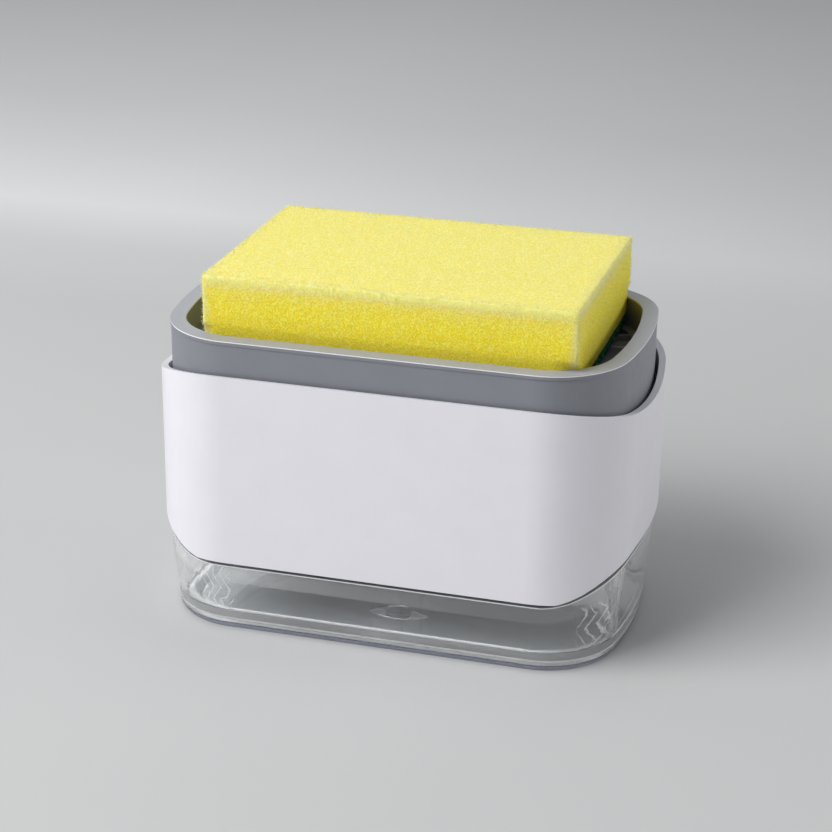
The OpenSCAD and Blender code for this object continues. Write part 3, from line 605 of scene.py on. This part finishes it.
def dress_nodes():
    white = plastic("white_plastic", (0.83, 0.82, 0.87), 0.34)
    pump_white = plastic("pump_plastic", (0.74, 0.76, 0.78), 0.34)
    grey = plastic("grey_plastic", (0.22, 0.24, 0.27), 0.4)
    tray = tray_plastic("tray_grey", (0.215, 0.225, 0.255), (0.365, 0.38, 0.44), (0.96, 0.96, 0.98))
    clear = tank_plastic("clear_plastic", (0.97, 0.98, 0.985))
    tube_clear = tube_plastic("tube_clear", (0.96, 0.975, 0.98))
    dark = rubber("dark_rubber", (0.028, 0.028, 0.03))
    ball = steel("ball_steel", (0.62, 0.62, 0.64), 0.16)
    plan = ((white, "white_plastic", ("sleeve", "deck")),
            (pump_white, "pump_plastic", ("pump_cap", "pump_body", "stem", "ball_cage")),
            (grey, "grey_plastic", ("pump_nut", "piston", "outlet_cap")),
            (tray, "tray_grey", ("press_tray",)),
            (clear, "clear_plastic", ("tank",)),
            (tube_clear, "clear_plastic", ("dip_tube", "tube_foot")),
            (dark, "dark_rubber", ("rim_gasket", "flange_gasket", "nut_washer", "piston_seal")),
            (ball, "ball_steel", ("inlet_ball", "outlet_ball")))
    for material, slot, nodes in plan:
        for node in nodes:
            dress(node, material)
    for node, width, segments in ROUNDED:
        soften(node, width, segments)


def lattice(low, high, cell, rounding):
    """A closed block as a fine grid: its points, outward directions, quads and distances to the edges."""
    size = high - low
    count = [max(2, int(round(s / cell))) for s in size]
    index, points, quads = {}, [], []

    def vertex(i, j, k):
        key = (i, j, k)
        if key not in index:
            index[key] = len(points)
            points.append(key)
        return index[key]

    for axis in range(3):
        a, b = (axis + 1) % 3, (axis + 2) % 3
        for side in (0, count[axis]):
            for p in range(count[a]):
                for q in range(count[b]):
                    corners = []
                    for dp, dq in ((0, 0), (1, 0), (1, 1), (0, 1)):
                        key = [0, 0, 0]
                        key[axis], key[a], key[b] = side, p + dp, q + dq
                        corners.append(vertex(*key))
                    quads.append(corners if side else corners[::-1])
    at = low + np.array(points) / np.array(count) * size
    core = np.clip(at, low + rounding, high - rounding)
    out = at - core
    out = out / np.linalg.norm(out, axis=1, keepdims=True)
    near = np.sort(np.minimum(at - low, high - at), axis=1)[:, 1]
    return core + out * rounding, out, quads, near


def roughen(points, out, size, depth, seed):
    """Moves points along their outward directions by a fine seeded noise."""
    shift = Vector((seed, 0.0, 0.0))
    moved = [noise.noise(Vector(p) / size + shift) + 0.6 * noise.noise(Vector(p) * 2.1 / size - shift)
             for p in points]
    return points + out * (np.array(moved) * depth)[:, None]


def squeeze(points, top):
    """Draws the block's sides and upright corners in to the pan's, below the rim."""
    x, y, z = points.T
    ease = np.clip((top + SQUEEZE_START - z) / SQUEEZE_EASE, 0.0, 1.0)
    ease = ease * ease * (3 - 2 * ease)
    y = y + (np.clip(y, -PAN_SIDE_Y, PAN_SIDE_Y) - y) * ease
    dx, dy = np.abs(x) - PAN_CORNER_X, np.abs(y) - PAN_CORNER_Y
    in_corner = (dx > 0) & (dy > 0)
    reach = np.hypot(dx, dy)
    share = np.where(in_corner & (reach > PAN_CORNER), PAN_CORNER / np.maximum(reach, 1e-9), 1.0)
    share = 1.0 + (share - 1.0) * ease
    x = np.where(in_corner, np.sign(x) * (PAN_CORNER_X + dx * share), x)
    y = np.where(in_corner, np.sign(y) * (PAN_CORNER_Y + dy * share), y)
    return np.stack([x, y, z], axis=1)


def add_tube(points, faces, path, radius, sides):
    """Adds a closed tube along a path to a list of points and a list of faces."""
    start = len(points)
    for i, p in enumerate(path):
        ahead = (path[min(i + 1, len(path) - 1)] - path[max(i - 1, 0)]).normalized()
        u = ahead.orthogonal().normalized()
        v = ahead.cross(u)
        for k in range(sides):
            a = 2 * math.pi * k / sides
            points.append(p + (u * math.cos(a) + v * math.sin(a)) * radius)
    for i in range(len(path) - 1):
        for k in range(sides):
            n = (k + 1) % sides
            a = start + i * sides
            faces.append([a + k, a + n, a + sides + n, a + sides + k])
    faces.append([start + k for k in range(sides)][::-1])
    faces.append([start + (len(path) - 1) * sides + k for k in range(sides)])


def joined(points, quads, more, faces):
    """Joins a block's points and quads with the hairs' points and faces."""
    more = np.array([tuple(p) for p in more])
    faces = quads + [[i + len(points) for i in f] for f in faces]
    return np.concatenate([points, more]), faces


def mesh_piece(name, points, faces, material, painted_light=None):
    mesh = bpy.data.meshes.new(name)
    mesh.from_pydata([tuple(p) for p in points], [], faces)
    mesh.materials.append(material)
    if painted_light is not None:
        mesh.attributes.new("painted_light", "FLOAT", "POINT").data.foreach_set("value", painted_light.astype(np.float32))
    mesh.shade_smooth()
    piece = bpy.data.objects.new(name, mesh)
    bpy.context.scene.collection.objects.link(piece)
    return piece


def random_way(rng):
    return Vector((rng.uniform(-1, 1), rng.uniform(-1, 1), rng.uniform(-1, 1)))


def bell(distance, width):
    """1 at no distance, falling smoothly over the given width."""
    return np.exp(-(distance / width) ** 2)


def foam_block():
    low, high = (np.array(c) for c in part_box("sponge_foam"))
    points, out, quads, near = lattice(low, high, FOAM_CELL, FOAM_EDGE_ROUND)
    points = roughen(points, out, FOAM_ROUGH_SIZE, FOAM_ROUGH, FOAM_SEED)
    points = squeeze(points, RIM_TOP + SOFT_GAP)
    painted_light = foam_painted_light(points, out, near, high[2])
    more, faces = fuzz_mesh(points, out, near)
    painted_light = np.concatenate([painted_light, np.full(len(more), FUZZ_LIGHT)])
    points, faces = joined(points, quads, more, faces)
    foam = mesh_piece("foam_block", points, faces, foam_material(), painted_light)
    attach(foam, "sponge")
    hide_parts("sponge_foam")


def foam_painted_light(points, out, near, top):
    """How much painted light the foam has at each point: some on its top, most along its top edges and its
    upright ones.
    """
    up = np.clip(out[:, 2], 0, 1)
    drop = top - points[:, 2]
    side = SIDE_BAND_LIGHT * bell(near, SIDE_BAND) * (points[:, 2] > RIM_TOP)
    band = TOP_BAND_LIGHT * bell(drop, TOP_BAND) + TOP_BAND_TAIL_LIGHT * bell(drop, 3 * TOP_BAND)
    painted_light = TOP_LIGHT * up + TOP_EDGE_LIGHT * bell(near, TOP_BAND) + (1.0 - up) * np.maximum(side, band)
    return np.clip(painted_light, 0, 2)


def fuzz_mesh(points, out, near):
    """Fine cut struts that stand out of the foam, thickest along its edges."""
    rng = random.Random(FUZZ_SEED)
    chosen = np.flatnonzero(points[:, 2] > RIM_TOP + FUZZ_CLEAR)
    weight = FUZZ_EVERYWHERE + FUZZ_EDGE * bell(near[chosen], FUZZ_EDGE_BAND)
    picks = rng.choices(list(chosen), weights=list(weight), k=FUZZ)
    more, faces = [], []
    for i in picks:
        lean = random_way(rng)
        way = (Vector(out[i]) + FUZZ_LEAN * lean).normalized()
        start = Vector(points[i]) + lean * FUZZ_SPREAD
        path = [start - way * FUZZ_ROOT, start + way * rng.uniform(*FUZZ_LENGTH)]
        add_tube(more, faces, path, FUZZ_R * rng.uniform(*HAIR_SPREAD), HAIR_SIDES)
    return more, faces


def scouring_pad():
    low, high = (np.array(c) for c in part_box("scour_pad"))
    points, out, quads, _ = lattice(low + PAD_INSET, high - PAD_INSET, PAD_CELL, PAD_EDGE_ROUND)
    points = roughen(points, out, PAD_ROUGH_SIZE, PAD_ROUGH, PAD_SEED)
    more, faces = fibre_mesh(low + FIBRE_REACH, high - FIBRE_REACH)
    points, faces = joined(points, quads, more, faces)
    pad = mesh_piece("scouring_pad", squeeze(points, high[2]), faces, scourer_material())
    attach(pad, "sponge")
    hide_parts("scour_pad")


def fibre_mesh(low, high):
    """Short curved fibres standing out of the pad's four sides."""
    rng = random.Random(FIBRE_SEED)
    points, faces = [], []
    for _ in range(FIBRES):
        on_long_side = rng.random() < FIBRES_ON_LONG_SIDES
        middle = [rng.uniform(low[i] + FIBRE_INSET, high[i] - FIBRE_INSET) for i in range(3)]
        across = 1 if on_long_side else 0
        middle[across] = rng.choice((low, high))[across]
        turn = rng.uniform(0, 2 * math.pi)
        length = rng.uniform(*FIBRE_LENGTH)
        flat = Vector((0.0, 0.0, math.sin(turn)))
        flat[1 - across] = math.cos(turn)
        bow = random_way(rng) * FIBRE_BOW
        path = []
        for t in FIBRE_STEPS:
            p = Vector(middle) + flat * length * t + bow * (1 - 4 * t * t)
            path.append(Vector([min(max(p[i], low[i] - FIBRE_REACH), high[i] + FIBRE_REACH)
                                for i in range(3)]))
        add_tube(points, faces, path, FIBRE_R * rng.uniform(*HAIR_SPREAD), HAIR_SIDES)
    return points, faces


def spring():
    """The return spring as a round wire."""
    low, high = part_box("return_spring")
    top, foot = high[2], low[2]
    middle = Vector(((low[0] + high[0]) / 2, (low[1] + high[1]) / 2, 0.0))
    radius = (high[1] - low[1]) / 2 - SPRING_WIRE / 2
    points, faces = coil_mesh(middle, radius, foot, top)
    coil = mesh_piece("spring_coil", points, faces, steel("spring_steel", (0.55, 0.55, 0.57), 0.3))
    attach(coil, "cover")
    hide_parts("return_spring")
    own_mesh(coil)


def coil_mesh(middle, radius, foot, top):
    """A wire wound evenly round an upright axis, from the foot to the top."""
    rings = int(SPRING_TURNS * SPRING_RINGS)
    points, faces = [], []
    for i in range(rings + 1):
        turn = 2 * math.pi * i / SPRING_RINGS
        z = foot + SPRING_WIRE / 2 + (top - foot - SPRING_WIRE) * i / rings
        for k in range(SPRING_SIDES):
            a = 2 * math.pi * k / SPRING_SIDES
            out = radius + SPRING_WIRE / 2 * math.cos(a)
            points.append(middle + Vector((out * math.cos(turn), out * math.sin(turn),
                                           z + SPRING_WIRE / 2 * math.sin(a))))
    for i in range(rings):
        for k in range(SPRING_SIDES):
            n, a = (k + 1) % SPRING_SIDES, i * SPRING_SIDES
            faces.append([a + k, a + SPRING_SIDES + k, a + SPRING_SIDES + n, a + n])
    faces.append(list(range(SPRING_SIDES)))
    faces.append([rings * SPRING_SIDES + k for k in range(SPRING_SIDES)][::-1])
    return points, faces


def make_floor():
    """A pale floor with painted light, whose tone changes slowly with the distance and from left to right,
    as paper that curves away does.
    """
    bpy.ops.mesh.primitive_plane_add(size=FLOOR_SIZE)
    floor = bpy.context.object
    floor.name = "floor"
    s = Shader("floor", Roughness=0.65, Specular_IOR_Level=0.3)
    place = s.xyz()
    far = s.above(place["Y"], *FLOOR_RANGE)
    tone = s.mix(s.above(place["X"], *FLOOR_ACROSS), s.grey_ramp(far, *FLOOR_LEFT),
                 s.grey_ramp(far, *FLOOR_RIGHT))
    grain = s.ramp(s.noise(FLOOR_CLOUD, 3.0), *zip(NOISE_SPAN, ((0.985, 0.99, 0.99), (1.0, 1.0, 1.0))))
    s.link("Base Color", s.mix(1.0, tone, grain, "MULTIPLY"))
    floor.data.materials.append(s.material)


def area_light(name, place, target, size, energy):
    data = bpy.data.lights.new(name, "AREA")
    data.shape = "RECTANGLE"
    data.size, data.size_y = size
    data.energy = energy
    lamp = bpy.data.objects.new(name, data)
    lamp.location = place
    lamp.rotation_euler = (Vector(place) - Vector(target)).to_track_quat("Z", "Y").to_euler()
    bpy.context.scene.collection.objects.link(lamp)


def make_world():
    """An even pale surround, dimmer towards one side."""
    world = bpy.data.worlds.new("world")
    bpy.context.scene.world = world
    world.use_nodes = True
    tree = world.node_tree
    background = tree.nodes["Background"]
    background.inputs["Color"].default_value = opaque(WORLD_COLOR)
    place = tree.nodes.new("ShaderNodeTexCoord")
    toward = tree.nodes.new("ShaderNodeVectorMath")
    toward.operation = "DOT_PRODUCT"
    toward.inputs[1].default_value = WORLD_DIM_SIDE
    dim = tree.nodes.new("ShaderNodeMapRange")
    for key, value in zip(("From Min", "From Max", "To Min", "To Max"), WORLD_DIM_SPAN + WORLD_STRENGTH):
        dim.inputs[key].default_value = value
    tree.links.new(place.outputs["Generated"], toward.inputs[0])
    tree.links.new(toward.outputs["Value"], dim.inputs["Value"])
    tree.links.new(dim.outputs["Result"], background.inputs["Strength"])


def light_scene():
    for lamp in LAMPS:
        area_light(*lamp)
    make_world()
    bpy.context.scene.view_settings.view_transform = "Standard"


make_camera()
dress_nodes()
foam_block()
scouring_pad()
spring()
make_floor()
light_scene()
